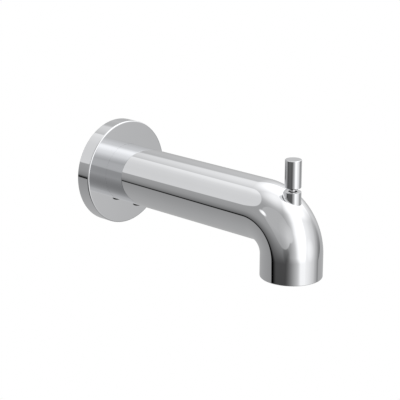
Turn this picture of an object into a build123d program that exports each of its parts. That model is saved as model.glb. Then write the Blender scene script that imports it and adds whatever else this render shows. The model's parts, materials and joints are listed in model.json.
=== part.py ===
from build123d import *
from math import sqrt
import os

os.makedirs("parts", exist_ok=True)

# Wall-mounted bath spout with a pull-up diverter, sizes in millimetres.
# The origin is the centre of the wall plane on the inlet axis.
# The spout reaches out along -Y, +Z is up, and the knob is drawn down.
# Distances named setback or back are measured out from the wall plane.

# Spout body
body_dia = 38.0
body_wall = 2.0
reach = 152.5             # wall to outlet axis
bend_radius = 22.8        # elbow, measured on the centreline
outlet_drop = 36.7        # inlet axis down to the outlet rim
body_back = 2.0           # wall to the back end of the tube
rim_break = 0.3

# Wall flange and its foam gasket
flange_dia = 68.7
flange_depth = 10.3
flange_plate = 2.5
flange_rim = 2.0
flange_edge_round = 0.9   # outer edge of the front face
hub_wall = 4.2
hub_back = 3.0
gasket_thick = 3.0
gasket_width = 4.0
gasket_ledge = 2.8

# Socket that slips on the supply tube
supply_tube_dia = 15.88
socket_clearance = 0.11
adapter_back = 4.0
adapter_wall = 4.8
rear_land = 15.0          # width of the land that takes the set screw
front_land = 8.0
supply_ring_margin = 11.4  # rear land to the first ring
supply_ring_pitch = 5.5
stop_margin = 5.5         # second ring to the tube stop
stop_thick = 4.0
stop_lip = 1.5
mouth_chamfer = 1.0

# Set screw under the tube
screw_dia = 6.35
screw_length = 12.7       # leaves the end standing out of the body
screw_gap = 9.8           # flange face to the screw axis
screw_chamfer = 0.4
screw_hex = 3.2
screw_hex_depth = 4.0
screw_access = 0.2        # radial room around the screw in the body

# Waterway tube and its centring ring
waterway_dia = 18.0
waterway_wall = 1.5
waterway_grip = 10.0      # length pushed into the adapter
centring_width = 6.0
centring_gap = 5.7        # ring to the start of the elbow
centring_holes = 6
centring_hole_dia = 4.6

# Diverter gate and its seat
gate_standoff = 8.6       # sealing face to the rod axis
gate_dia = 15.2
gate_thick = 2.6
seal_rim = 0.8            # gate metal around the seal
seal_overlap = 1.3        # seal around the port
seal_thick = 1.6
seal_proud = 0.5
port_margin = 0.9         # gate below the port with the knob down
ear_height = 2.2
ear_reach = 2.5
rail_wall = 1.0
rail_lip = 1.2
rail_lip_gap = 1.0        # gate edge to the rail lip
rail_bottom = 11.6        # inlet axis down to the end of the rails
rail_floor = 1.0
seat_plate = 4.0
seat_socket = 9.0
seat_socket_wall = 3.0
lug_width = 7.0
lug_height = 6.0
lug_overhang = 3.0

# Knob, rod, collar and guide bush
knob_dia = 10.0
knob_length = 17.25
knob_bevel = 0.4
knob_thread = 10.0
knob_gap = 2.35           # collar top to the knob
collar_dia = 10.2
collar_rise = 3.85        # elbow surface up to the collar top, on the rod axis
collar_fillet = 0.85      # where the collar grows out of the elbow
collar_bevel = 0.15
bush_mouth_dia = 5.4      # recess around the rod in the collar top
bush_mouth_depth = 2.5
bush_plug_dia = 13.2      # round piece of the elbow wall that carries the collar
bush_boss_dia = 10.0      # inside the tube, around the rod
bush_stop_gap = 0.7       # bush to the raised gate lug
bush_ring_setback = 5.5   # collar top down to the rod ring
rod_dia = 3.4
rod_spigot_dia = 2.6
rod_groove_dia = 1.9
rod_tail = 2.2            # rod end below the gate lug
clip_dia = 6.0
clip_thick = 0.7
clip_opening = 1.6

# Round sections of the rubber rings
flange_ring_section = 2.0
supply_ring_section = 2.4
waterway_ring_section = 1.8
rod_ring_section = 1.5
ring_groove_side = 0.2    # room on each side of a ring in its groove

# Clearances, each on one side
slip_clearance = 0.05
press_clearance = 0.03
thread_clearance = 0.03
ring_clearance = 0.03
run_clearance = 0.05
seal_clearance = 0.08
rail_clearance = 0.12
rest_clearance = 0.05
clip_clearance = 0.05
supply_ring_squeeze = 0.09
overcut = 1.0             # how far a cutting shape runs past the face it opens

# Sizes that follow: tube, socket and waterway
body_r = body_dia / 2
bore_r = body_r - body_wall
land_r = bore_r - slip_clearance
elbow_back = reach - bend_radius
screw_setback = flange_depth + screw_gap
supply_r = supply_tube_dia / 2
socket_r = supply_r + socket_clearance
adapter_r = socket_r + adapter_wall
rear_land_front = screw_setback + rear_land / 2
supply_ring_rear = rear_land_front + supply_ring_margin
supply_ring_front = supply_ring_rear + supply_ring_pitch
stop_back = supply_ring_front + stop_margin
stop_front = stop_back + stop_thick
adapter_front = stop_front + waterway_grip
waterway_r = waterway_dia / 2
grip_r = waterway_r + slip_clearance
seat_setback = reach - gate_standoff
waterway_front = seat_setback - seat_plate
seat_back = waterway_front - seat_socket
centring_front = elbow_back - centring_gap
centring_back = centring_front - centring_width

# Sizes that follow: gate, rod, collar and bush
gate_r = gate_dia / 2
seal_r = gate_r - seal_rim
port_r = seal_r - seal_overlap
gate_travel = port_r + gate_r + port_margin
gate_z = -gate_travel
ear_low = rail_floor - rail_bottom + rest_clearance - gate_z
ear_high = ear_low + ear_height
ear_half = gate_r + ear_reach
rail_half = ear_half + rail_clearance + rail_wall
rail_top = ear_high + rail_clearance
seal_back = seat_setback + seal_clearance
seal_front = seal_back + seal_thick
gate_back = seal_back + seal_proud
gate_front = gate_back + gate_thick
rail_lip_back = gate_front + rail_clearance
rail_front = rail_lip_back + rail_lip
lug_top = gate_z + lug_height / 2
lug_bottom = gate_z - lug_height / 2
knob_r = knob_dia / 2
collar_r = collar_dia / 2
plug_r = bush_plug_dia / 2
rod_r = rod_dia / 2
spigot_r = rod_spigot_dia / 2
elbow_top = sqrt((bend_radius + body_r) ** 2 - bend_radius ** 2) - bend_radius
collar_top = elbow_top + collar_rise
mouth_floor = collar_top - bush_mouth_depth
bush_bottom = lug_top + gate_travel + bush_stop_gap
bush_ring_z = collar_top - bush_ring_setback
knob_bottom = collar_top + knob_gap
knob_top = knob_bottom + knob_length
rod_top = knob_bottom + knob_thread

# Middle circles of the rubber rings
flange_ring_r = body_r + ring_clearance + flange_ring_section / 2
flange_ring_setback = (hub_back + flange_depth) / 2
supply_ring_r = supply_r - supply_ring_squeeze + supply_ring_section / 2
waterway_ring_r = waterway_r + ring_clearance + waterway_ring_section / 2
waterway_ring_rear = stop_front + waterway_grip / 2
waterway_ring_front = seat_back + seat_socket / 2
rod_ring_r = rod_r + ring_clearance + rod_ring_section / 2


def turned(points):
    # solid turned about the inlet axis from (radius, setback) corners
    corners = [(radius, -setback) for radius, setback in points]
    return revolve(make_face(Polyline(*corners, close=True)), Axis.Y)


def turned_ring(inner_r, outer_r, back, front):
    return turned([(inner_r, back), (outer_r, back), (outer_r, front), (inner_r, front)])


def turned_disc(radius, back, front):
    return Pos(0, -(back + front) / 2, 0) * Rot(90, 0, 0) * Cylinder(radius, front - back)


def rubber_ring(ring_r, section, setback):
    return Pos(0, -setback, 0) * Rot(90, 0, 0) * Torus(ring_r, section / 2)


def ring_groove(open_r, ring_r, section, setback):
    # cut that opens at open_r and leaves room around a rubber ring
    half = section / 2 + ring_groove_side
    floor_r = ring_r + section / 2 + ring_clearance
    return turned_ring(open_r - overcut, floor_r, setback - half, setback + half)


def upright(radius, setback, low, high):
    return Pos(0, -setback, (low + high) / 2) * Cylinder(radius, high - low)


def block(half_width, back, front, low, high):
    middle = Pos(0, -(back + front) / 2, (low + high) / 2)
    return middle * Box(2 * half_width, front - back, high - low)


def elbow_solid(radius):
    # quarter of a torus between the straight tube and the outlet drop
    quarter = block(body_r, elbow_back, reach + body_r, -bend_radius, body_r)
    return Pos(0, -elbow_back, -bend_radius) * Rot(0, 90, 0) * Torus(bend_radius, radius) & quarter


def tube_solid(radius):
    straight = turned_disc(radius, body_back, elbow_back)
    drop = upright(radius, reach, -outlet_drop, -bend_radius)
    return straight + elbow_solid(radius) + drop


def spout_body():
    tube = tube_solid(body_r) - tube_solid(bore_r)
    tube = chamfer(tube.edges().group_by(Axis.Z)[0], rim_break)
    bush_hole = upright(plug_r + press_clearance, reach, 0, collar_top)
    screw_hole = upright(screw_dia / 2 + screw_access, screw_setback, -body_r - overcut, 0)
    return tube - bush_hole - screw_hole


def wall_flange():
    outer_r = flange_dia / 2
    hole_r = body_r + slip_clearance
    hub_r = hole_r + hub_wall
    rim_r = outer_r - flange_rim
    ledge_r = rim_r - gasket_ledge
    plate_back = flange_depth - flange_plate
    cup = turned([
        (hole_r, flange_depth),
        (outer_r, flange_depth),
        (outer_r, 0),
        (rim_r, 0),
        (rim_r, gasket_thick),
        (ledge_r, gasket_thick),
        (ledge_r, plate_back),
        (hub_r, plate_back),
        (hub_r, hub_back),
        (hole_r, hub_back),
    ])
    front_edge = cup.edges().group_by(Axis.Y)[0].sort_by(SortBy.RADIUS)[-1]
    cup = fillet(front_edge, flange_edge_round)
    return cup - ring_groove(hole_r, flange_ring_r, flange_ring_section, flange_ring_setback)


def wall_gasket():
    outer_r = flange_dia / 2 - flange_rim - slip_clearance
    return turned_ring(outer_r - gasket_width, outer_r, 0, gasket_thick)


def inlet_adapter():
    adapter = turned([
        (socket_r + mouth_chamfer, adapter_back),
        (adapter_r, adapter_back),
        (adapter_r, rear_land_front - rear_land),
        (land_r, rear_land_front - rear_land),
        (land_r, rear_land_front),
        (adapter_r, rear_land_front),
        (adapter_r, adapter_front - front_land),
        (land_r, adapter_front - front_land),
        (land_r, adapter_front),
        (grip_r, adapter_front),
        (grip_r, stop_front),
        (socket_r - stop_lip, stop_front),
        (socket_r - stop_lip, stop_back),
        (socket_r, stop_back),
        (socket_r, adapter_back + mouth_chamfer),
    ])
    for setback in (supply_ring_rear, supply_ring_front):
        adapter = adapter - ring_groove(socket_r, supply_ring_r, supply_ring_section, setback)
    adapter = adapter - ring_groove(grip_r, waterway_ring_r, waterway_ring_section, waterway_ring_rear)
    return adapter - upright(screw_dia / 2 + thread_clearance, screw_setback, -bore_r, 0)


def set_screw():
    end = -supply_r - screw_length
    screw = upright(screw_dia / 2, screw_setback, end, -supply_r)
    screw = chamfer(screw.edges().filter_by(GeomType.CIRCLE), screw_chamfer)
    hexagon = RegularPolygon(screw_hex / 2, 6, major_radius=False)
    return screw - extrude(Pos(0, -screw_setback, end) * hexagon, screw_hex_depth)


def waterway_tube():
    return turned_ring(waterway_r - waterway_wall, waterway_r, stop_front, waterway_front)


def centring_ring():
    ring = turned_ring(grip_r, land_r, centring_back, centring_front)
    hole = turned_disc(centring_hole_dia / 2, centring_back, centring_front)
    hole = Pos((grip_r + land_r) / 2, 0, 0) * hole
    for index in range(centring_holes):
        ring = ring - Rot(0, index * 360 / centring_holes, 0) * hole
    return ring


def gate_rails():
    rails = block(rail_half, seat_setback, rail_front, -rail_bottom, rail_top)
    floor_z = rail_floor - rail_bottom
    ear_slot = block(rail_half - rail_wall, seat_setback, rail_lip_back, floor_z, rail_top)
    gate_way = block(gate_r + rail_lip_gap, seat_setback, rail_front, -rail_bottom, rail_top)
    return rails - ear_slot - gate_way


def gate_seat():
    sleeve = turned_disc(grip_r + seat_socket_wall, seat_back, seat_setback)
    plate = block(rail_half, waterway_front, seat_setback, -rail_bottom, rail_top)
    seat = sleeve + plate + gate_rails()
    seat = seat - turned_disc(grip_r, seat_back, waterway_front)
    seat = seat - turned_disc(port_r, waterway_front, seat_setback)
    return seat - ring_groove(grip_r, waterway_ring_r, waterway_ring_section, waterway_ring_front)


def diverter_gate():
    plate = turned_disc(gate_r, gate_back, gate_front)
    ears = block(ear_half, gate_back, gate_front, ear_low, ear_high)
    lug = block(lug_width / 2, gate_front, reach + lug_overhang, -lug_height / 2, lug_height / 2)
    recess = turned_disc(seal_r + slip_clearance, seal_back, seal_front)
    rod_hole = upright(spigot_r + press_clearance, reach, -lug_height / 2, lug_height / 2)
    return Pos(0, 0, gate_z) * (plate + ears + lug - recess - rod_hole)


def gate_seal():
    return Pos(0, 0, gate_z) * turned_disc(seal_r, seal_back, seal_front)


def lift_rod():
    stem = upright(rod_r, reach, lug_top, rod_top)
    spigot = upright(spigot_r, reach, lug_bottom - rod_tail, lug_top)
    groove_low = lug_bottom - clip_thick - clip_clearance
    groove = upright(rod_r, reach, groove_low, lug_bottom)
    groove = groove - upright(rod_groove_dia / 2, reach, groove_low, lug_bottom)
    return stem + spigot - groove


def rod_clip():
    low = lug_bottom - clip_thick
    clip = upright(clip_dia / 2, reach, low, lug_bottom)
    clip = clip - upright(rod_groove_dia / 2 + clip_clearance, reach, low, lug_bottom)
    return clip - block(clip_opening / 2, reach, reach + clip_dia, low, lug_bottom)


def guide_bush():
    # collar blended into the elbow, cut out with a round of the elbow wall
    elbow = elbow_solid(body_r)
    collar = Pos(0, -reach, 0) * Rot(0, 0, 90) * upright(collar_r, 0, bush_bottom, collar_top)
    collar = chamfer(collar.edges().group_by(Axis.Z)[-1], collar_bevel)
    joined = elbow + collar
    joined = fillet(new_edges(elbow, collar, combined=joined), collar_fillet)
    plug = (joined - elbow_solid(bore_r)) & upright(plug_r, reach, 0, collar_top)
    bush = plug + upright(bush_boss_dia / 2, reach, bush_bottom, mouth_floor)
    bush = bush - upright(rod_r + run_clearance, reach, bush_bottom, mouth_floor)
    bush = bush - upright(bush_mouth_dia / 2, reach, mouth_floor, collar_top)
    half = rod_ring_section / 2 + ring_groove_side
    room_r = rod_ring_r + rod_ring_section / 2 + ring_clearance
    return bush - upright(room_r, reach, bush_ring_z - half, bush_ring_z + half)


def rod_o_ring():
    return Pos(0, -reach, bush_ring_z) * Torus(rod_ring_r, rod_ring_section / 2)


def diverter_knob():
    knob = upright(knob_r, reach, knob_bottom, knob_top)
    knob = chamfer(knob.edges().filter_by(GeomType.CIRCLE), knob_bevel)
    return knob - upright(rod_r + thread_clearance, reach, knob_bottom, rod_top)


pieces = {
    "spout_body": spout_body(),
    "wall_flange": wall_flange(),
    "wall_gasket": wall_gasket(),
    "flange_o_ring": rubber_ring(flange_ring_r, flange_ring_section, flange_ring_setback),
    "inlet_adapter": inlet_adapter(),
    "tube_o_ring_rear": rubber_ring(supply_ring_r, supply_ring_section, supply_ring_rear),
    "tube_o_ring_front": rubber_ring(supply_ring_r, supply_ring_section, supply_ring_front),
    "set_screw": set_screw(),
    "waterway_tube": waterway_tube(),
    "waterway_o_ring_rear": rubber_ring(waterway_ring_r, waterway_ring_section, waterway_ring_rear),
    "waterway_o_ring_front": rubber_ring(waterway_ring_r, waterway_ring_section, waterway_ring_front),
    "centring_ring": centring_ring(),
    "gate_seat": gate_seat(),
    "diverter_gate": diverter_gate(),
    "gate_seal": gate_seal(),
    "lift_rod": lift_rod(),
    "rod_clip": rod_clip(),
    "guide_bush": guide_bush(),
    "rod_o_ring": rod_o_ring(),
    "diverter_knob": diverter_knob(),
}

for name, shape in pieces.items():
    export_step(shape, f"parts/{name}.step")
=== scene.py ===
import json
import math

import bpy
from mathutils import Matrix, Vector


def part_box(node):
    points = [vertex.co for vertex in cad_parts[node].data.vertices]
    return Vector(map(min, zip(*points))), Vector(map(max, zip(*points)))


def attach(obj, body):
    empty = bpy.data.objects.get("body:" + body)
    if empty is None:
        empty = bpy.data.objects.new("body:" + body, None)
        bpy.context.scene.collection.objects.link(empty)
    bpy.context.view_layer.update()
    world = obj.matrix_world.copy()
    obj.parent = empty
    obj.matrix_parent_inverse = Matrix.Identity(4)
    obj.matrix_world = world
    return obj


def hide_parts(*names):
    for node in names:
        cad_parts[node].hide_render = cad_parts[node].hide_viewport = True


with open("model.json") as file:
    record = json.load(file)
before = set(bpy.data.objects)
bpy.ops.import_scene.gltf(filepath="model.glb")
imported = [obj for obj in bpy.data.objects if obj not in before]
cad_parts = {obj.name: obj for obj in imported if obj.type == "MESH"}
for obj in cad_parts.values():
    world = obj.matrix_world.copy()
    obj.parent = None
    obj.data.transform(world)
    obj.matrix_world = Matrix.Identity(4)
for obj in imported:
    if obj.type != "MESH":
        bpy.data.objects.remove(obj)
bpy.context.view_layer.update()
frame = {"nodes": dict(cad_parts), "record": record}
nodes = frame["nodes"]
scene = bpy.context.scene
print("frame loaded:", len(nodes), "nodes")


# Helpers shared by the modelled pieces

slack = {
    "merge": 1e-6,  # points closer than this become one
    "ring": 2e-6,  # how far an edge may lie from the ring it is picked for
    "rim": 1e-5,  # the same for the edges of the outlet rim
    "wall": 2e-5,  # how far a point may lie from the tube wall it belongs to
}


def pointing(bearing):
    # unit vector for an azimuth from the front and an elevation, in degrees
    turn, lift = (math.radians(angle) for angle in bearing)
    return Vector((math.sin(turn) * math.cos(lift), -math.cos(turn) * math.cos(lift), math.sin(lift)))


def clearSelection():
    if bpy.context.object and bpy.context.object.mode != "OBJECT":
        bpy.ops.object.mode_set(mode="OBJECT")
    bpy.ops.object.select_all(action="DESELECT")


def pickPiece(piece):
    clearSelection()
    piece.select_set(True)
    bpy.context.view_layer.objects.active = piece


def startEdit(piece, mode="VERT"):
    pickPiece(piece)
    bpy.ops.object.mode_set(mode="EDIT")
    bpy.ops.mesh.select_mode(type=mode)


def endEdit():
    bpy.ops.object.mode_set(mode="OBJECT")


def namePiece(name):
    piece = bpy.context.object
    piece.name = name
    piece.data.name = name
    bpy.ops.object.transform_apply(location=True, rotation=True, scale=True)
    return piece


def applyModifier(piece, kind, **settings):
    pickPiece(piece)
    modifier = piece.modifiers.new(kind.lower(), kind)
    for key, value in settings.items():
        setattr(modifier, key, value)
    bpy.ops.object.modifier_apply(modifier=modifier.name)


def cutRound(piece, radius, centre, length, around):
    # upright round hole, cut with a throwaway cylinder
    clearSelection()
    bpy.ops.mesh.primitive_cylinder_add(vertices=around, radius=radius, depth=length, location=centre)
    cutter = bpy.context.object
    applyModifier(piece, "BOOLEAN", operation="DIFFERENCE", object=cutter, solver="EXACT")
    bpy.data.objects.remove(cutter)


def selectEdges(piece, wanted):
    # pick edges by the places of their two ends, then open them in edit mode
    clearSelection()
    mesh = piece.data
    for part in (mesh.vertices, mesh.edges, mesh.polygons):
        part.foreach_set("select", [False] * len(part))
    for edge in mesh.edges:
        first, second = (mesh.vertices[index].co for index in edge.vertices)
        edge.select = wanted(first, second)
    startEdit(piece, "EDGE")


def ringFinder(start, along, radius, place):
    # says whether both ends of an edge lie on one ring of a turned piece
    def onRing(first, second):
        for end in (first - start, second - start):
            height = end.dot(along)
            reach = (end - along * height).length
            if abs(height - place) > slack["ring"] or abs(reach - radius) > slack["ring"]:
                return False
        return True

    return onRing


def lathe(name, profile, axis, around, roundSteps):
    # corners (distance from the axis, place along it, rounding) joined in turn and spun once round
    along = Vector(axis["along"])
    start = Vector(axis["place"])
    corners = [start + Vector((radius, 0, 0)) + along * place for radius, place, rounding in profile]
    clearSelection()
    bpy.ops.mesh.primitive_plane_add(size=0.001, location=corners[0])  # merged to one point below
    piece = namePiece(name)
    startEdit(piece)
    bpy.ops.mesh.select_all(action="SELECT")
    bpy.ops.mesh.merge(type="CENTER")
    for here, there in zip(corners, corners[1:]):
        bpy.ops.mesh.extrude_vertices_move(TRANSFORM_OT_translate={"value": there - here})
    bpy.ops.mesh.select_all(action="SELECT")
    bpy.ops.mesh.spin(steps=around, angle=2 * math.pi, center=start, axis=along)
    bpy.ops.mesh.select_all(action="SELECT")
    bpy.ops.mesh.remove_doubles(threshold=slack["merge"])
    bpy.ops.mesh.normals_make_consistent(inside=False)
    endEdit()
    bpy.ops.object.shade_smooth()
    widest = max(rounding for radius, place, rounding in profile)
    for radius, place, rounding in profile:
        selectEdges(piece, ringFinder(start, along, radius, place))
        if rounding:
            bpy.ops.transform.edge_bevelweight(value=rounding / widest)
        else:
            bpy.ops.mesh.mark_sharp()
        endEdit()
    applyModifier(
        piece, "BEVEL", width=widest, segments=roundSteps, limit_method="WEIGHT", harden_normals=True)
    return piece


# Spout tube: a ring extruded along the tube, spun round the elbow and drawn down to the outlet

tubeLow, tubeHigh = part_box("spout_body")
tube = {
    "radius": (tubeHigh.x - tubeLow.x) / 2,
    "wall": 0.002,
    "bendRadius": 0.0228,
    "rimRound": 0.0004,
    "rimSteps": 4,
    "around": 256,
    "bendSteps": 96,
    "straightSteps": 16,
    "backY": tubeHigh.y,
    "outletY": tubeLow.y + (tubeHigh.x - tubeLow.x) / 2,
    "rimZ": tubeLow.z,
    "screwRoom": 0.0002,
    "bushHole": 0.005,
    "holeSteps": 96,
}
tube["elbowY"] = tube["outletY"] + tube["bendRadius"]


def centreLine(place):
    # nearest point on the tube's centreline
    bend = Vector((0, tube["elbowY"], -tube["bendRadius"]))
    if place.y >= bend.y:
        return Vector((0, place.y, 0))
    if place.z <= bend.z:
        return Vector((0, tube["outletY"], place.z))
    return bend + Vector((0, place.y - bend.y, place.z - bend.z)).normalized() * tube["bendRadius"]


def setTubeNormals(piece):
    # exact normals on the outer and inner walls, so that the mirror finish shows no facets
    mesh = piece.data
    mesh.shade_smooth()
    outer, inner = tube["radius"], tube["radius"] - tube["wall"]
    away = [vertex.co - centreLine(vertex.co) for vertex in mesh.vertices]
    normals = []
    for face in mesh.polygons:
        spokes = [away[index] for index in face.vertices]
        if all(abs(spoke.length - outer) < slack["wall"] for spoke in spokes):
            normals += [spoke.normalized() for spoke in spokes]
        elif all(abs(spoke.length - inner) < slack["wall"] for spoke in spokes):
            normals += [-spoke.normalized() for spoke in spokes]
        else:
            normals += [face.normal.copy() for spoke in spokes]
    mesh.normals_split_custom_set(normals)


def drawTube(name, radius):
    # open skin of the tube at a given radius
    clearSelection()
    bpy.ops.mesh.primitive_circle_add(
        vertices=tube["around"], radius=radius, location=(0, tube["backY"], 0), rotation=(math.pi / 2, 0, 0))
    piece = namePiece(name)
    startEdit(piece)
    bpy.ops.mesh.select_all(action="SELECT")
    run = (tube["elbowY"] - tube["backY"]) / tube["straightSteps"]
    for step in range(tube["straightSteps"]):
        bpy.ops.mesh.extrude_region_move(TRANSFORM_OT_translate={"value": (0, run, 0)})
    bpy.ops.mesh.spin(
        steps=tube["bendSteps"], angle=-math.pi / 2,
        center=(0, tube["elbowY"], -tube["bendRadius"]), axis=(1, 0, 0))
    drop = tube["rimZ"] + tube["bendRadius"]
    bpy.ops.mesh.extrude_region_move(TRANSFORM_OT_translate={"value": (0, 0, drop)})
    bpy.ops.mesh.select_all(action="SELECT")
    bpy.ops.mesh.remove_doubles(threshold=slack["merge"])
    bpy.ops.mesh.normals_make_consistent(inside=False)
    endEdit()
    return piece


def makeTube():
    piece = drawTube("spoutTube", tube["radius"])
    applyModifier(piece, "SOLIDIFY", thickness=tube["wall"], offset=-1)

    def onRim(first, second):
        across = abs((first - centreLine(first)).length - (second - centreLine(second)).length)
        return max(first.z, second.z) < tube["rimZ"] + slack["rim"] and across < slack["rim"]

    selectEdges(piece, onRim)
    bpy.ops.mesh.bevel(offset=tube["rimRound"], segments=tube["rimSteps"], affect="EDGES")
    endEdit()
    outletTop = Vector((0, tube["outletY"], tube["radius"]))
    cutRound(piece, tube["bushHole"], outletTop, 2 * tube["radius"], tube["holeSteps"])
    screwLow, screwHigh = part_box("set_screw")
    screwRadius = (screwHigh.x - screwLow.x) / 2 + tube["screwRoom"]
    cutRound(piece, screwRadius, (screwLow + screwHigh) / 2, screwHigh.z - screwLow.z, tube["holeSteps"])
    setTubeNormals(piece)
    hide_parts("spout_body")
    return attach(piece, "spout")


spoutTube = makeTube()
print("spout tube:", len(spoutTube.data.polygons), "faces")


# Wall flange: a turned cup with a hub that holds its rubber ring

flangeLow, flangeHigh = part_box("wall_flange")
flange = {
    "radius": flangeHigh.x,
    "frontY": flangeLow.y,
    "tubeRoom": 0.00002,
    "hubWall": 0.0042,
    "hubBack": -0.003,
    "plate": 0.0025,
    "rim": 0.002,
    "ledge": 0.0028,
    "ledgeBack": -0.003,
    "grooveY": -0.00665,
    "grooveHalf": 0.0012,
    "grooveRadius": 0.02106,
    "edgeRound": 0.0009,
    "backRound": 0.0004,
    "roundSteps": 6,
    "around": 256,
}
flange["hole"] = tube["radius"] + flange["tubeRoom"]


def makeFlange():
    hub = flange["hole"] + flange["hubWall"]
    rim = flange["radius"] - flange["rim"]
    ledge = rim - flange["ledge"]
    plateY = flange["frontY"] + flange["plate"]
    grooveFront = flange["grooveY"] - flange["grooveHalf"]
    grooveBack = flange["grooveY"] + flange["grooveHalf"]
    back = flange["backRound"]
    profile = [
        (flange["hole"], flange["frontY"], 0),
        (flange["radius"], flange["frontY"], flange["edgeRound"]),
        (flange["radius"], 0, back),
        (rim, 0, back),
        (rim, flange["ledgeBack"], 0),
        (ledge, flange["ledgeBack"], back),
        (ledge, plateY, back),
        (hub, plateY, back),
        (hub, flange["hubBack"], back),
        (flange["hole"], flange["hubBack"], back),
        (flange["hole"], grooveBack, 0),
        (flange["grooveRadius"], grooveBack, 0),
        (flange["grooveRadius"], grooveFront, 0),
        (flange["hole"], grooveFront, 0),
        (flange["hole"], flange["frontY"], 0),
    ]
    inletAxis = {"place": (0, 0, 0), "along": (0, 1, 0)}
    piece = lathe("wallFlange", profile, inletAxis, flange["around"], flange["roundSteps"])
    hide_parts("wall_flange")
    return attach(piece, "spout")


wallFlange = makeFlange()
print("wall flange:", len(wallFlange.data.polygons), "faces")


# Pull knob and the collar it stands over, both turned about the outlet axis

outletAxis = {"place": (0, tube["outletY"], 0), "along": (0, 0, 1)}
rodLow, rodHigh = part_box("lift_rod")
rodRadius = (rodHigh.x - rodLow.x) / 2
knobLow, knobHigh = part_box("diverter_knob")
knob = {
    "radius": (knobHigh.x - knobLow.x) / 2,
    "bottom": knobLow.z,
    "top": knobHigh.z,
    "boreRoom": 0.00003,
    "boreTop": rodHigh.z,
    "edgeRound": 0.0004,
    "roundSteps": 4,
    "around": 128,
}
knob["bore"] = rodRadius + knob["boreRoom"]


def makeKnob():
    profile = [
        (0, knob["top"], 0),
        (knob["radius"], knob["top"], knob["edgeRound"]),
        (knob["radius"], knob["bottom"] + knob["edgeRound"], 0),
        (knob["radius"] - knob["edgeRound"], knob["bottom"], 0),
        (knob["bore"], knob["bottom"], 0),
        (knob["bore"], knob["boreTop"], 0),
        (0, knob["boreTop"], 0),
    ]
    piece = lathe("pullKnob", profile, outletAxis, knob["around"], knob["roundSteps"])
    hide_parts("diverter_knob")
    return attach(piece, "diverter")


pullKnob = makeKnob()

bushLow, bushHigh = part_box("guide_bush")
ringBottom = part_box("rod_o_ring")[0].z
collar = {
    "radius": 0.0051,
    "top": bushHigh.z,
    "step": 0.007,
    "boss": tube["bushHole"],
    "bottom": bushLow.z,
    "boreRoom": 0.00005,
    "mouth": 0.0027,
    "mouthDepth": 0.0025,
    "ringHalf": 0.00075,
    "grooveHalf": 0.00095,
    "grooveRadius": 0.00326,
    "edgeRound": 0.00015,
    "roundSteps": 2,
    "around": 128,
}
collar["bore"] = rodRadius + collar["boreRoom"]
collar["grooveMiddle"] = ringBottom + collar["ringHalf"]


def makeCollar():
    grooveLow = collar["grooveMiddle"] - collar["grooveHalf"]
    grooveHigh = collar["grooveMiddle"] + collar["grooveHalf"]
    mouthFloor = collar["top"] - collar["mouthDepth"]
    profile = [
        (collar["mouth"], collar["top"], 0),
        (collar["radius"], collar["top"], collar["edgeRound"]),
        (collar["radius"], collar["step"], 0),
        (collar["boss"], collar["step"], 0),
        (collar["boss"], collar["bottom"], 0),
        (collar["bore"], collar["bottom"], 0),
        (collar["bore"], grooveLow, 0),
        (collar["grooveRadius"], grooveLow, 0),
        (collar["grooveRadius"], grooveHigh, 0),
        (collar["bore"], grooveHigh, 0),
        (collar["bore"], mouthFloor, 0),
        (collar["mouth"], mouthFloor, 0),
        (collar["mouth"], collar["top"], 0),
    ]
    piece = lathe("knobCollar", profile, outletAxis, collar["around"], collar["roundSteps"])
    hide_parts("guide_bush")
    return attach(piece, "spout")


knobCollar = makeCollar()

# Foot of the collar: the fillet that a ball would leave when rolled round between collar and elbow

foot = {
    "radius": 0.00085,
    "around": 192,
    "steps": 9,
    "ballSteps": 12,
    "startZ": 0.03,  # height from which the ball's path is dropped on the tube
}


def wrapRing(ring, skin, **settings):
    applyModifier(ring, "SHRINKWRAP", target=skin, **settings)


def copyRing(ring, name):
    pickPiece(ring)
    bpy.ops.object.duplicate()
    return namePiece(name)


def makeFoot():
    # path of the ball's middle, on a tube that is larger by the ball's radius
    skin = drawTube("tubeSkin", tube["radius"])
    ballSkin = drawTube("ballSkin", tube["radius"] + foot["radius"])
    clearSelection()
    bpy.ops.mesh.primitive_circle_add(
        vertices=foot["around"], radius=collar["radius"] + foot["radius"],
        location=(0, tube["outletY"], foot["startZ"]))
    ballPath = namePiece("ballPath")
    wrapRing(ballPath, ballSkin, wrap_method="PROJECT", use_project_z=True,
             use_negative_direction=True, use_positive_direction=False)
    # rings where the ball touches the collar and the tube, with a strip between them
    high = copyRing(ballPath, "collarFoot")
    startEdit(high)
    bpy.ops.mesh.select_all(action="SELECT")
    inward = collar["radius"] / (collar["radius"] + foot["radius"])
    bpy.ops.transform.resize(value=(inward, inward, 1), center_override=(0, tube["outletY"], 0))
    endEdit()
    low = copyRing(ballPath, "footEdge")
    wrapRing(low, skin, wrap_method="NEAREST_SURFACEPOINT")
    pickPiece(high)
    low.select_set(True)
    bpy.ops.object.join()
    startEdit(high, "EDGE")
    bpy.ops.mesh.select_all(action="SELECT")
    bpy.ops.mesh.bridge_edge_loops(number_cuts=foot["steps"], interpolation="LINEAR")
    bpy.ops.mesh.select_all(action="SELECT")
    bpy.ops.mesh.normals_make_consistent(inside=False)
    endEdit()
    # the strip is pressed onto the track of the ball
    pickPiece(ballPath)
    bpy.ops.object.convert(target="CURVE")
    ball = bpy.context.object
    ball.data.bevel_depth = foot["radius"]
    ball.data.bevel_resolution = foot["ballSteps"]
    bpy.ops.object.convert(target="MESH")
    ball = bpy.context.object
    wrapRing(high, ball, wrap_method="NEAREST_SURFACEPOINT")
    for helper in (skin, ballSkin, ball):
        bpy.data.objects.remove(helper)
    pickPiece(high)
    bpy.ops.object.shade_smooth()
    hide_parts("guide_bush")
    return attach(high, "spout")


collarFoot = makeFoot()
smallPieces = (pullKnob, knobCollar, collarFoot)
print("knob, collar and foot:", [len(piece.data.polygons) for piece in smallPieces], "faces")


# Camera

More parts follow.
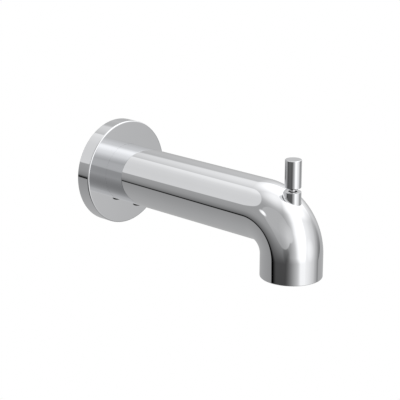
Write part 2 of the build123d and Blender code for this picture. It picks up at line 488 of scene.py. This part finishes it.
view = {
    "azimuth": -46.608,
    "elevation": 17.262,
    "distance": 0.88188,
    "aim": (0.03403, -0.04495, -0.01987),
    "focalPixels": 1316.94,
    "framePixels": 400,
    "sensor": 36,
    "clip": (0.01, 50),
}


def makeCamera():
    back = pointing((view["azimuth"], view["elevation"]))
    data = bpy.data.cameras.new("camera")
    data.sensor_width = view["sensor"]
    data.lens = view["focalPixels"] / view["framePixels"] * view["sensor"]
    data.clip_start, data.clip_end = view["clip"]
    camera = bpy.data.objects.new("camera", data)
    scene.collection.objects.link(camera)
    camera.location = Vector(view["aim"]) + back * view["distance"]
    camera.rotation_euler = (-back).to_track_quat("-Z", "Y").to_euler()
    scene.camera = camera


makeCamera()
print("camera set")


# Finishes: each is a shader with grain, tint and roughness of its own, read from Object coordinates

def newFinish(name, metal=0.0):
    finish = bpy.data.materials.new(name)
    finish.use_nodes = True
    tree = finish.node_tree
    shader = tree.nodes["Principled BSDF"]
    shader.inputs["Metallic"].default_value = metal
    coords = tree.nodes.new("ShaderNodeTexCoord").outputs["Object"]
    return finish, tree, shader, coords


def noise(tree, coords, scale, detail, stretch=None):
    if stretch:
        mapping = tree.nodes.new("ShaderNodeMapping")
        mapping.inputs["Scale"].default_value = stretch
        tree.links.new(coords, mapping.inputs["Vector"])
        coords = mapping.outputs["Vector"]
    texture = tree.nodes.new("ShaderNodeTexNoise")
    texture.inputs["Scale"].default_value = scale
    texture.inputs["Detail"].default_value = detail
    tree.links.new(coords, texture.inputs["Vector"])
    return texture.outputs["Fac"]


def spread(tree, value, low, high, fromLow=0.3, fromHigh=0.7, style="LINEAR"):
    node = tree.nodes.new("ShaderNodeMapRange")
    node.interpolation_type = style
    for socket, amount in (("From Min", fromLow), ("From Max", fromHigh), ("To Min", low), ("To Max", high)):
        node.inputs[socket].default_value = amount
    tree.links.new(value, node.inputs["Value"])
    return node.outputs["Result"]


def tint(tree, value, dark, light):
    node = tree.nodes.new("ShaderNodeMix")
    node.data_type = "RGBA"
    node.inputs[6].default_value = (*dark, 1)
    node.inputs[7].default_value = (*light, 1)
    tree.links.new(value, node.inputs[0])
    return node.outputs[2]


def setColour(tree, value, look, shader):
    tree.links.new(tint(tree, value, look["dark"], look["light"]), shader.inputs["Base Color"])


def addRelief(tree, value, depth, shader):
    node = tree.nodes.new("ShaderNodeBump")
    node.inputs["Strength"].default_value = 1.0
    node.inputs["Distance"].default_value = depth
    tree.links.new(value, node.inputs["Height"])
    tree.links.new(node.outputs["Normal"], shader.inputs["Normal"])


# a noise is given by its scale, its detail and, where it is drawn out, its stretch
chrome = {
    "dark": (0.674, 0.680, 0.692),
    "light": (0.692, 0.698, 0.711),
    "cloud": (30, 2),
    "haze": (220, 4),
    "roughness": (0.010, 0.026),
    "peel": (700, 1),
    "depth": 0.0000006,
}


def chromePlate():
    # bright plating: a cool mirror with a trace of haze and a very slight orange peel
    finish, tree, shader, coords = newFinish("chromePlate", 1.0)
    setColour(tree, spread(tree, noise(tree, coords, *chrome["cloud"]), 0, 1), chrome, shader)
    haze = noise(tree, coords, *chrome["haze"])
    tree.links.new(spread(tree, haze, *chrome["roughness"]), shader.inputs["Roughness"])
    addRelief(tree, noise(tree, coords, *chrome["peel"]), chrome["depth"], shader)
    return finish


brass = {
    "dark": (0.42, 0.27, 0.10),
    "light": (0.72, 0.52, 0.24),
    "stain": (120, 4),
    "rings": (40, 3, (0.5, 60, 0.5)),
    "roughness": (0.20, 0.42),
    "depth": 0.00001,
}


def turnedBrass():
    # lathe rings along the inlet axis, with duller patches where water has stood
    finish, tree, shader, coords = newFinish("turnedBrass", 1.0)
    rings = noise(tree, coords, *brass["rings"])
    setColour(tree, spread(tree, noise(tree, coords, *brass["stain"]), 0, 1), brass, shader)
    tree.links.new(spread(tree, rings, *brass["roughness"]), shader.inputs["Roughness"])
    addRelief(tree, rings, brass["depth"], shader)
    return finish


steel = {
    "dark": (0.60, 0.60, 0.605),
    "light": (0.70, 0.70, 0.705),
    "cloud": (150, 2),
    "lines": (60, 3, (0.5, 0.5, 90)),
    "roughness": (0.06, 0.16),
    "depth": 0.000002,
}


def drawnSteel():
    # polished rod with fine lines round it
    finish, tree, shader, coords = newFinish("drawnSteel", 1.0)
    lines = noise(tree, coords, *steel["lines"])
    setColour(tree, spread(tree, noise(tree, coords, *steel["cloud"]), 0, 1), steel, shader)
    tree.links.new(spread(tree, lines, *steel["roughness"]), shader.inputs["Roughness"])
    addRelief(tree, lines, steel["depth"], shader)
    return finish


darkSteel = {
    "dark": (0.050, 0.050, 0.053),
    "light": (0.120, 0.115, 0.110),
    "metal": 0.6,
    "rub": (500, 4),
    "roughness": (0.52, 0.34),
    "grain": (1800, 3),
    "depth": 0.00001,
}


def blackOxide():
    # blackened alloy screw, a little browner and smoother where a key has rubbed
    finish, tree, shader, coords = newFinish("blackOxide", darkSteel["metal"])
    rub = spread(tree, noise(tree, coords, *darkSteel["rub"]), 0, 1)
    setColour(tree, rub, darkSteel, shader)
    tree.links.new(spread(tree, rub, *darkSteel["roughness"], 0, 1), shader.inputs["Roughness"])
    addRelief(tree, noise(tree, coords, *darkSteel["grain"]), darkSteel["depth"], shader)
    return finish


rubber = {
    "dark": (0.012, 0.012, 0.013),
    "light": (0.032, 0.032, 0.034),
    "bloom": (260, 4),
    "roughness": (0.48, 0.72),
    "grain": (2400, 2),
    "depth": 0.000012,
}


def blackRubber():
    # moulded rings with a faint grey bloom
    finish, tree, shader, coords = newFinish("blackRubber")
    bloom = spread(tree, noise(tree, coords, *rubber["bloom"]), 0, 1)
    setColour(tree, bloom, rubber, shader)
    tree.links.new(spread(tree, bloom, *rubber["roughness"], 0, 1), shader.inputs["Roughness"])
    addRelief(tree, noise(tree, coords, *rubber["grain"]), rubber["depth"], shader)
    return finish


foam = {
    "dark": (0.022, 0.022, 0.024),
    "light": (0.075, 0.075, 0.078),
    "poreScale": 1500,
    "poreEdge": (0.1, 0.6),
    "roughness": (0.80, 0.95),
    "depth": 0.00015,
}


def cellFoam():
    # closed-cell foam ring: small dark pores over a grey skin; the dark in the pores is painted shade in
    # their hollows, taken from the same value that dents them
    finish, tree, shader, coords = newFinish("cellFoam")
    pores = tree.nodes.new("ShaderNodeTexVoronoi")
    pores.inputs["Scale"].default_value = foam["poreScale"]
    tree.links.new(coords, pores.inputs["Vector"])
    skin = spread(tree, pores.outputs["Distance"], 1, 0, *foam["poreEdge"])
    # painted shade: the colour darkens where the pores sink in
    setColour(tree, skin, foam, shader)
    tree.links.new(spread(tree, skin, *foam["roughness"], 0, 1), shader.inputs["Roughness"])
    addRelief(tree, skin, foam["depth"], shader)
    return finish


plastic = {
    "dark": (0.66, 0.65, 0.61),
    "light": (0.74, 0.73, 0.70),
    "flow": (90, 3),
    "sheen": (600, 3),
    "roughness": (0.34, 0.50),
    "grain": (1600, 2),
    "depth": 0.000006,
}


def mouldedAcetal():
    # milky engineering plastic with faint flow marks
    finish, tree, shader, coords = newFinish("mouldedAcetal")
    setColour(tree, spread(tree, noise(tree, coords, *plastic["flow"]), 0, 1), plastic, shader)
    sheen = noise(tree, coords, *plastic["sheen"])
    tree.links.new(spread(tree, sheen, *plastic["roughness"]), shader.inputs["Roughness"])
    addRelief(tree, noise(tree, coords, *plastic["grain"]), plastic["depth"], shader)
    return finish


finishes = {
    "chrome": chromePlate(),
    "brass": turnedBrass(),
    "steel": drawnSteel(),
    "dark_steel": blackOxide(),
    "rubber": blackRubber(),
    "foam": cellFoam(),
    "plastic": mouldedAcetal(),
}
slotOfNode = {}
for subpart in frame["record"]["subparts"]:
    slotOfNode[subpart["node"]] = subpart["material_slot"]


def dress(piece, finish):
    piece.data.materials.clear()
    piece.data.materials.append(finish)


for node, piece in nodes.items():
    dress(piece, finishes[slotOfNode[node]])
for piece in (spoutTube, wallFlange, pullKnob, knobCollar, collarFoot):
    dress(piece, finishes["chrome"])
print("finishes:", ", ".join(finishes))


# Studio: a shell that only mirror rays see, with the round lamps, window and floor that the chrome shows
# places in it are an azimuth from the front and an elevation, and lists hold (where, how much) in turn

studio = {
    "shellRadius": 8.0,
    "shellSteps": (64, 32),
    "zenith": (0, 90),
    "front": (0, 0),
    "frontFade": (0.02, 0.35),
    "wall": [(-1, 0.44), (-0.8, 0.3), (-0.62, 0.06), (-0.36, 0.08), (-0.3, 0.125), (-0.19, 0.24), (0, 0.42),
             (0.15, 0.47), (0.7, 0.47), (0.8, 0.55), (0.87, 0.68), (0.94, 1.01), (1, 1.35)],
    # painted shade where the wall meets the floor, and how it widens lower down
    "seamShade": (1.4, 5.5),
    "seamShadeStretch": [(-0.34, 2.5), (-0.31, 2.2), (-0.276, 1.6), (-0.242, 1.2), (-0.2, 0.95)],
    "windowSide": (58, 0),
    "window": [(-0.9, 0), (-0.68, 0.12), (-0.56, 0.193), (-0.45, 0.295), (-0.28, 0.49), (-0.14, 0.66),
               (-0.06, 0.79), (0, 0.95), (0.07, 1.2), (0.14, 1.4), (0.25, 1.55), (0.5, 2.1), (1, 2.3)],
    "windowLean": 1.06,
    "windowLeanFrom": 0.2,
    "windowTop": [(0.4, 0), (0.52, 0.035), (0.65, 0.07), (0.82, 0.07), (0.9, 0)],
    "windowFoot": [(-1, 0.5), (-0.77, 0.74), (-0.5, 0.86), (-0.36, 1.3), (-0.2, 1.6), (1, 2.4)],
    "backGlow": (110, 60),
    "backGlowLevels": [(0.5, 0), (0.6, 0.4), (0.82, 0.95), (0.875, 1.11), (0.94, 1.41), (1, 1.7)],
    "backShade": [(-0.34, 2.0), (-0.17, 1.62), (-0.07, 1.6), (-0.02, 1.12), (0.03, 0.76), (0.07, 0.62),
                  (0.16, 0.62), (0.28, 0.66)],
    "corner": (77, -18.6),
    "cornerShade": [(0.16, 1.9), (0.34, 1.25), (0.5, 1.15), (0.73, 0.89), (0.79, 0.82), (0.836, 0.67),
                    (0.885, 0.58), (0.957, 0.33), (1, 0.15)],
    "cornerLift": 1.36,
    "cornerLiftFade": (0.58, 0.76),
    "floorDown": (147.5, -51.2),
    "floorEdge": 71.2,
    "floorBlur": 0.5,
    "floor": [(0.33, 0.40), (0.63, 0.455), (0.85, 0.50), (1, 0.52)],
    "floorGlow": (95, 35),
    "floorGlowLevels": [(0.2, 0.3), (0.4, 0.5), (0.7, 0.56), (0.83, 0.73), (0.9, 0.9), (1, 1.3)],
}
dimPatch = {"place": (-66, -9), "span": 7.0, "blur": 7.0, "level": 0.66}
palePatch = {"place": (22, -4), "span": 9.0, "blur": 9.0, "level": 1.15}
greyLamp = {
    "place": (-74, 24.5),
    "span": 28.8,
    "blur": 1.0,
    "glow": (-35, 8),
    "levels": [(0.5, 0.61), (0.76, 0.61), (0.86, 0.68), (0.9, 0.74), (0.95, 0.84), (1, 0.86)],
    "foot": [(-0.06, 0.79), (0.05, 0.86), (0.24, 1)],
}
greyTail = {"place": (-48.5, 22.5), "span": 14.2, "blur": 1.5}
whiteLamp = {
    "place": (-147.2, 36.9),
    "span": 26.9,
    "blur": 0.8,
    "glow": (170, 65),
    "levels": [(0.45, 0.915), (0.7, 0.895), (0.85, 0.925), (0.91, 1.0), (0.95, 1.17), (1, 1.25)],
}
pinLamp = {"place": (-105, 24), "span": 3.2, "blur": 3.0, "level": 0.95}


def facing(tree, ray, bearing):
    node = tree.nodes.new("ShaderNodeVectorMath")
    node.operation = "DOT_PRODUCT"
    node.inputs[1].default_value = pointing(bearing)
    tree.links.new(ray, node.inputs[0])
    return node.outputs["Value"]


def levels(tree, value, stops):
    node = tree.nodes.new("ShaderNodeValToRGB")
    points = node.color_ramp.elements
    low, high = stops[0][0], stops[-1][0]
    for place, level in stops[1:-1]:
        points.new((place - low) / (high - low)).color = (level, level, level, 1)
    for point, stop in ((points[0], stops[0]), (points[-1], stops[-1])):
        point.color = (stop[1], stop[1], stop[1], 1)
    tree.links.new(spread(tree, value, 0, 1, low, high), node.inputs["Fac"])
    return node.outputs["Color"]


def combine(tree, operation, first, second):
    node = tree.nodes.new("ShaderNodeMath")
    node.operation = operation
    for socket, value in zip(node.inputs, (first, second)):
        if isinstance(value, (int, float)):
            socket.default_value = value
        else:
            tree.links.new(value, socket)
    return node.outputs["Value"]


def over(tree, mask, under, top):
    node = tree.nodes.new("ShaderNodeMix")
    for socket, value in ((0, mask), (2, under), (3, top)):
        if isinstance(value, (int, float)):
            node.inputs[socket].default_value = value
        else:
            tree.links.new(value, node.inputs[socket])
    return node.outputs[0]


def roundMask(tree, ray, bearing, span, blur):
    # 1 inside a round patch of sky, 0 outside, with a soft edge
    outer, inner = (math.cos(math.radians(span + step)) for step in (blur, -blur))
    return spread(tree, facing(tree, ray, bearing), 0, 1, outer, inner, "SMOOTHSTEP")


def patchMask(tree, ray, patch):
    return roundMask(tree, ray, patch["place"], patch["span"], patch["blur"])


def lampGlow(tree, ray, lamp):
    return levels(tree, facing(tree, ray, lamp["glow"]), lamp["levels"])


def wallTone(tree, up, down):
    # grey wall with painted shade, dark where it meets the floor, over a wider strip the lower it is
    beyond = combine(tree, "ARCCOSINE", down, 0)
    beyond = combine(tree, "SUBTRACT", beyond, math.radians(studio["floorEdge"]))
    beyond = combine(tree, "DIVIDE", beyond, levels(tree, up, studio["seamShadeStretch"]))
    start, end = (math.radians(angle) for angle in studio["seamShade"])
    # painted shade: the wall goes dark just past the floor's edge
    seamShade = spread(tree, beyond, 0, 1, start, end, "SMOOTHSTEP")
    return combine(tree, "MULTIPLY", levels(tree, up, studio["wall"]), seamShade)


def windowTone(tree, ray, up, down, floorGlow):
    # white window, fading at its foot, round the back and into the far corner
    lean = combine(tree, "MINIMUM", combine(tree, "ADD", up, studio["windowLeanFrom"]), 0)
    lean = combine(tree, "MULTIPLY", lean, studio["windowLean"])
    side = combine(tree, "ADD", facing(tree, ray, studio["windowSide"]), lean)
    side = combine(tree, "SUBTRACT", side, levels(tree, up, studio["windowTop"]))
    back = facing(tree, ray, studio["backGlow"])
    tone = levels(tree, side, studio["window"])
    tone = combine(tree, "MAXIMUM", tone, levels(tree, back, studio["backGlowLevels"]))
    tone = combine(tree, "MINIMUM", tone, levels(tree, up, studio["windowFoot"]))
    corner = levels(tree, facing(tree, ray, studio["corner"]), studio["cornerShade"])
    lift = spread(tree, back, 1, studio["cornerLift"], *studio["cornerLiftFade"], "SMOOTHSTEP")
    corner = combine(tree, "MULTIPLY", corner, lift)
    behind = spread(tree, facing(tree, ray, studio["front"]), 1, 0, *studio["frontFade"], "SMOOTHSTEP")
    rear = combine(tree, "MAXIMUM", levels(tree, down, studio["backShade"]), floorGlow)
    return combine(tree, "MINIMUM", tone, over(tree, behind, corner, rear))


def addLamps(tree, ray, up, sky):
    # two round lamps, the light beside the grey one and a pin lamp between them
    glow = combine(tree, "MULTIPLY", lampGlow(tree, ray, greyLamp), levels(tree, up, greyLamp["foot"]))
    sky = over(tree, patchMask(tree, ray, greyLamp), sky, glow)
    sky = over(tree, patchMask(tree, ray, greyTail), sky, combine(tree, "MAXIMUM", sky, glow))
    sky = over(tree, patchMask(tree, ray, whiteLamp), sky, lampGlow(tree, ray, whiteLamp))
    pin = combine(tree, "MULTIPLY", patchMask(tree, ray, pinLamp), pinLamp["level"])
    return combine(tree, "ADD", sky, pin)


def paintShell(shell):
    finish = bpy.data.materials.new("studioShell")
    finish.use_nodes = True
    tree = finish.node_tree
    tree.nodes.clear()
    ray = tree.nodes.new("ShaderNodeVectorMath")
    ray.operation = "NORMALIZE"
    tree.links.new(tree.nodes.new("ShaderNodeTexCoord").outputs["Object"], ray.inputs[0])
    ray = ray.outputs["Vector"]
    up = facing(tree, ray, studio["zenith"])
    down = facing(tree, ray, studio["floorDown"])
    floorGlow = levels(tree, facing(tree, ray, studio["floorGlow"]), studio["floorGlowLevels"])
    sky = combine(tree, "MAXIMUM", wallTone(tree, up, down), windowTone(tree, ray, up, down, floorGlow))
    # a darker patch under the grey lamp and a paler one low in the window
    for patch in (dimPatch, palePatch):
        sky = combine(tree, "MULTIPLY", sky, over(tree, patchMask(tree, ray, patch), 1, patch["level"]))
    sky = addLamps(tree, ray, up, sky)
    # pale floor, with a sharp edge against the wall
    floorTone = combine(tree, "MAXIMUM", floorGlow, levels(tree, down, studio["floor"]))
    blur = studio["floorBlur"]
    onFloor = roundMask(tree, ray, studio["floorDown"], studio["floorEdge"] + blur, blur)
    glow = tree.nodes.new("ShaderNodeEmission")
    tree.links.new(over(tree, onFloor, sky, floorTone), glow.inputs["Color"])
    output = tree.nodes.new("ShaderNodeOutputMaterial")
    tree.links.new(glow.outputs["Emission"], output.inputs["Surface"])
    dress(shell, finish)


def makeShell():
    clearSelection()
    around, rings = studio["shellSteps"]
    bpy.ops.mesh.primitive_uv_sphere_add(segments=around, ring_count=rings, radius=studio["shellRadius"])
    shell = namePiece("studioShell")
    bpy.ops.object.shade_smooth()
    shell.visible_camera = shell.visible_diffuse = shell.visible_shadow = False
    paintShell(shell)


makeShell()

# Floor, room and two soft lamps, for what is not a mirror

ground = {
    "size": 6.0,
    "drop": 0.55,
    "dark": (0.784, 0.784, 0.784),
    "light": (0.80, 0.80, 0.80),
    "grain": (12, 3),
    "roughness": 0.9,
    "ambient": 0.55,
    "keyPlace": (-1.2, -1.5, 1.7),
    "keySize": 1.4,
    "keyPower": 26,
    "fillPlace": (1.6, -1.0, 0.7),
    "fillSize": 1.2,
    "fillPower": 9,
}


def whiteForViewer(tree, plain):
    # camera, mirror and glass rays meet pure white, everything else the plain level
    path = tree.nodes.new("ShaderNodeLightPath")
    seen = combine(tree, "MAXIMUM", path.outputs["Is Camera Ray"], path.outputs["Is Glossy Ray"])
    seen = combine(tree, "MAXIMUM", seen, path.outputs["Is Transmission Ray"])
    mix = tree.nodes.new("ShaderNodeMixShader")
    tree.links.new(seen, mix.inputs[0])
    tree.links.new(plain, mix.inputs[1])
    return mix


def makeFloor():
    clearSelection()
    bpy.ops.mesh.primitive_plane_add(size=ground["size"], location=(0, 0, -ground["drop"]))
    floor = namePiece("paleFloor")
    finish, tree, shader, coords = newFinish("paleFloor")
    setColour(tree, spread(tree, noise(tree, coords, *ground["grain"]), 0, 1), ground, shader)
    shader.inputs["Roughness"].default_value = ground["roughness"]
    white = tree.nodes.new("ShaderNodeEmission")
    mix = whiteForViewer(tree, shader.outputs["BSDF"])
    tree.links.new(white.outputs["Emission"], mix.inputs[2])
    tree.links.new(mix.outputs["Shader"], tree.nodes["Material Output"].inputs["Surface"])
    dress(floor, finish)
    floor.visible_glossy = False


def makeWorld():
    world = bpy.data.worlds.new("paleRoom")
    scene.world = world
    world.use_nodes = True
    tree = world.node_tree
    plain = tree.nodes["Background"]
    plain.inputs["Color"].default_value = (1, 1, 1, 1)
    plain.inputs["Strength"].default_value = ground["ambient"]
    white = tree.nodes.new("ShaderNodeBackground")
    white.inputs["Color"].default_value = (1, 1, 1, 1)
    white.inputs["Strength"].default_value = 1.0
    mix = whiteForViewer(tree, plain.outputs["Background"])
    tree.links.new(white.outputs["Background"], mix.inputs[2])
    tree.links.new(mix.outputs["Shader"], tree.nodes["World Output"].inputs["Surface"])


def makeLamp(name):
    data = bpy.data.lights.new(name + "Light", "AREA")
    data.size = ground[name + "Size"]
    data.energy = ground[name + "Power"]
    lamp = bpy.data.objects.new(name + "Light", data)
    scene.collection.objects.link(lamp)
    lamp.location = ground[name + "Place"]
    lamp.rotation_euler = lamp.location.to_track_quat("Z", "Y").to_euler()
    lamp.visible_glossy = False


makeFloor()
makeWorld()
makeLamp("key")
makeLamp("fill")
scene.view_settings.view_transform = "Standard"
print("studio and lamps set")
